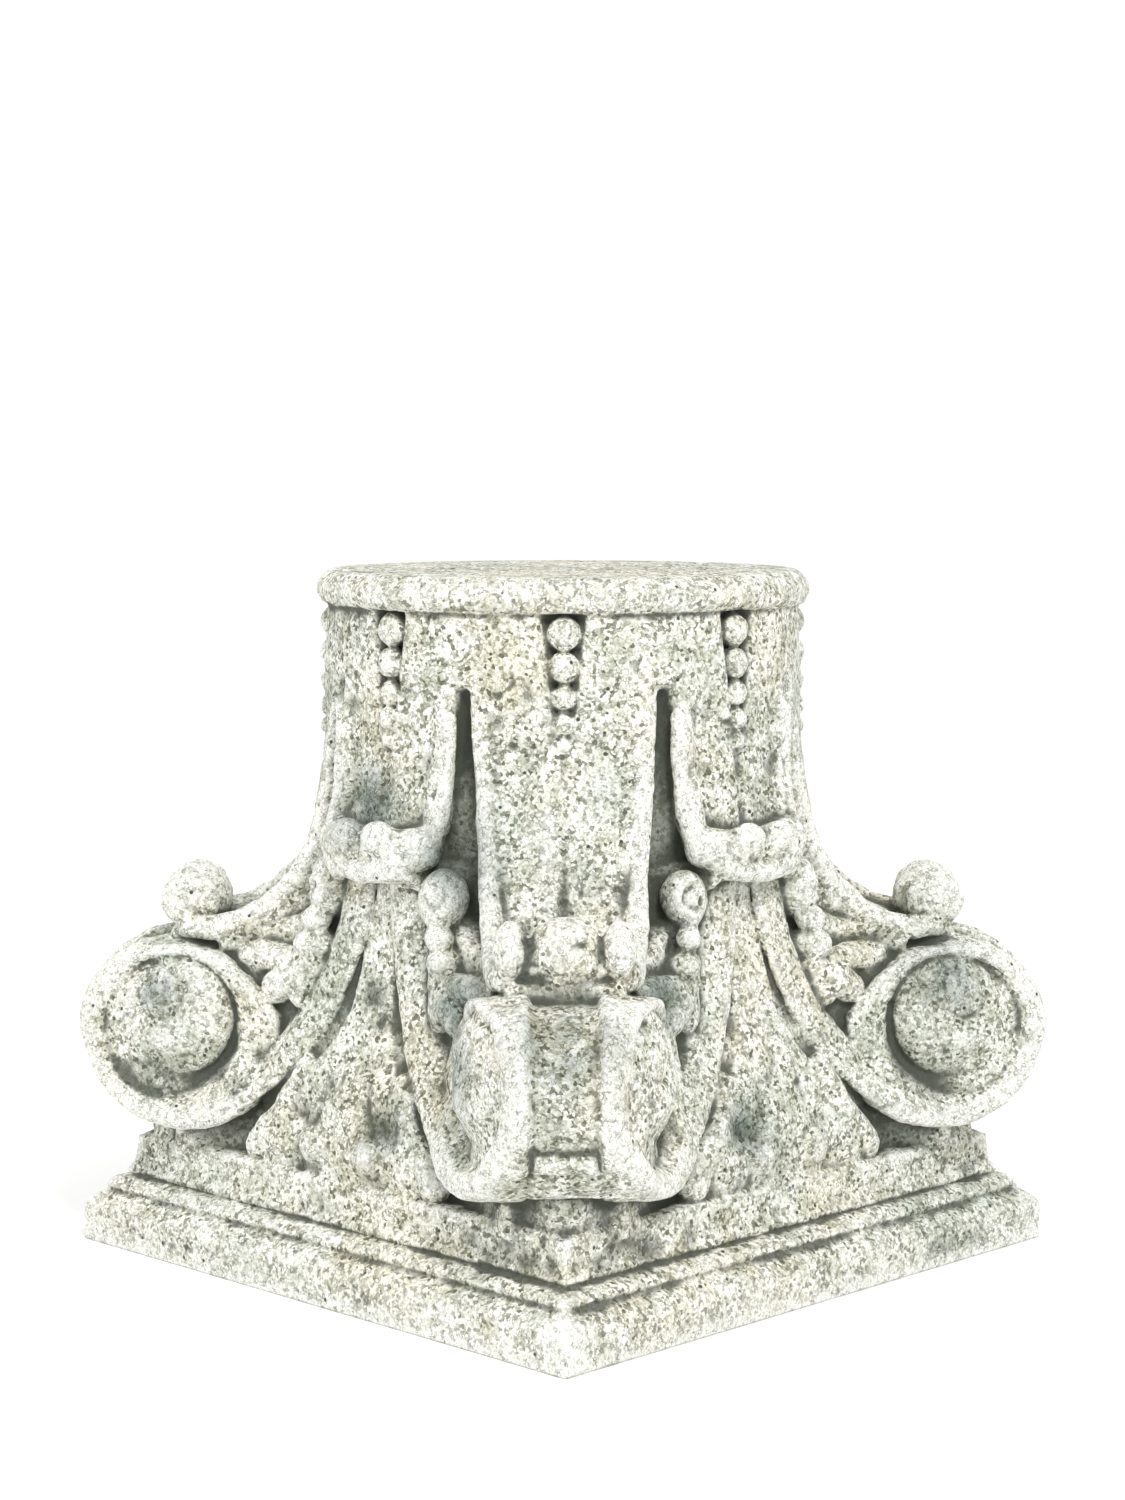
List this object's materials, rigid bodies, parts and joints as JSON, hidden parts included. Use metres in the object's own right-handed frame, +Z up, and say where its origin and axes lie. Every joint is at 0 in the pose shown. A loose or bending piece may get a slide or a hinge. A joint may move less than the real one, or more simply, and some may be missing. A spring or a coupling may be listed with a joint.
{
  "type": "column base",
  "caption": "Cast stone column base: an upturned scrolled capital with leaf-wrapped neck and corner scrolls on a square moulded plinth.",
  "frame": {"origin": "centre of the plinth's underside, on the floor", "axes": "+Z up along the column's axis, X and Y square to the plinth's sides"},
  "size_m": [0.446, 0.446, 0.4],
  "materials": {
    "cast_stone": "weathered, granular, unsealed"
  },
  "bodies": {
    "root": {"column_base": "cast_stone"}
  },
  "joints": []
}
